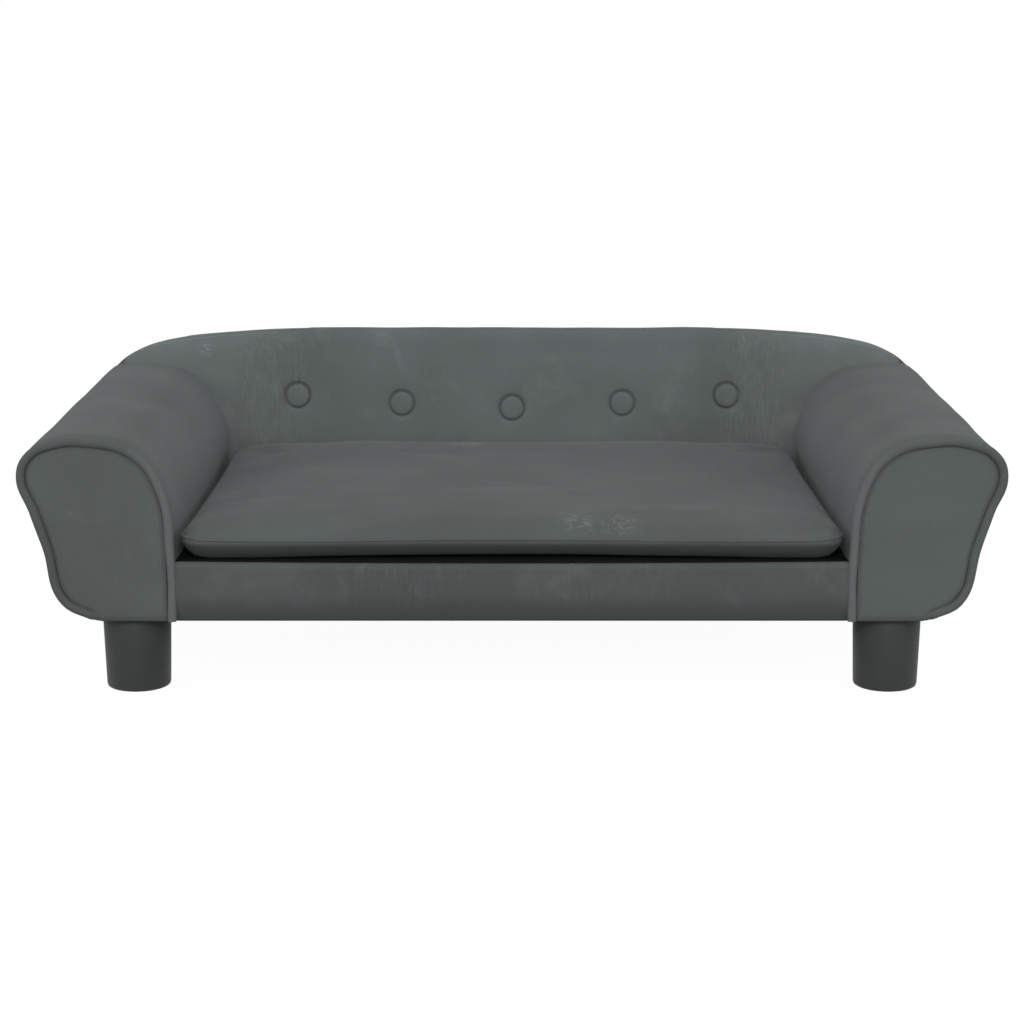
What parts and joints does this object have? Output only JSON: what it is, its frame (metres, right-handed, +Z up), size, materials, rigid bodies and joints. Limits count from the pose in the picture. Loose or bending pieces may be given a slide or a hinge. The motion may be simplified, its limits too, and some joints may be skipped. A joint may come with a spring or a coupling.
{
  "type": "dog sofa bed",
  "caption": "Low velvet dog sofa with rolled tulip arms, piped arm fronts, a buttoned reclined back, a loose crowned seat cushion and round legs.",
  "frame": {"origin": "on the floor, under the middle of the sofa's outline", "axes": "+X to the sitter's left when facing the front, along the width; +Y from front to rear; +Z up"},
  "size_m": [1, 0.54, 0.311],
  "materials": {
    "velvet": "matte",
    "foam": "matte",
    "wood": "matte",
    "hardboard": "satin",
    "black_cloth": "matte",
    "leg_plastic": "satin",
    "zinc_steel": "satin",
    "tie_nylon": "satin",
    "zip_nylon": "matte",
    "zip_metal": "satin"
  },
  "bodies": {
    "sofa": {"arm_bottom_boards": "wood", "arm_covers": "velvet", "arm_front_boards": "wood", "arm_front_foams": "foam", "arm_front_panels": "velvet", "arm_inner_foams": "foam", "arm_outer_foams": "foam", "arm_piping": "velvet", "arm_rear_boards": "wood", "arm_roll_foams": "foam", "arm_shelves": "wood", "arm_side_boards": "wood", "arm_wrap_panels": "hardboard", "back_board": "wood", "back_buttons": "velvet", "back_cover": "velvet", "back_foam": "foam", "back_rear_cover": "velvet", "button_ties": "tie_nylon", "corner_blocks": "wood", "deck_cloth": "black_cloth", "deck_foam": "foam", "dust_cloth": "black_cloth", "frame_staples": "zinc_steel", "front_legs": "leg_plastic", "front_rail": "wood", "front_rail_cover": "velvet", "leg_bolts": "zinc_steel", "rail_foam": "foam", "rear_legs": "leg_plastic", "rear_rail": "wood", "seat_deck": "wood", "seat_slats": "wood"},
    "cushion": {"cushion_foam": "foam", "cushion_cover": "velvet", "cushion_zip": "zip_nylon"},
    "zip_slider": {"zip_slider": "zip_metal"},
    "zip_pull": {"zip_pull": "zip_metal"}
  },
  "joints": [
    {"name": "cushion_lift", "type": "slide", "parent": "sofa", "child": "cushion", "axis": [0, 0, 1], "range_m": [0, 0.2]},
    {"name": "zip_run", "type": "slide", "parent": "cushion", "child": "zip_slider", "axis": [1, 0, 0], "range_m": [0, 0.425]},
    {"name": "pull_swing", "type": "hinge", "parent": "zip_slider", "child": "zip_pull", "pos_m": [-0.2158, 0.2128, 0.15257], "axis": [0, 0, -1], "range_deg": [0, 18]}
  ]
}
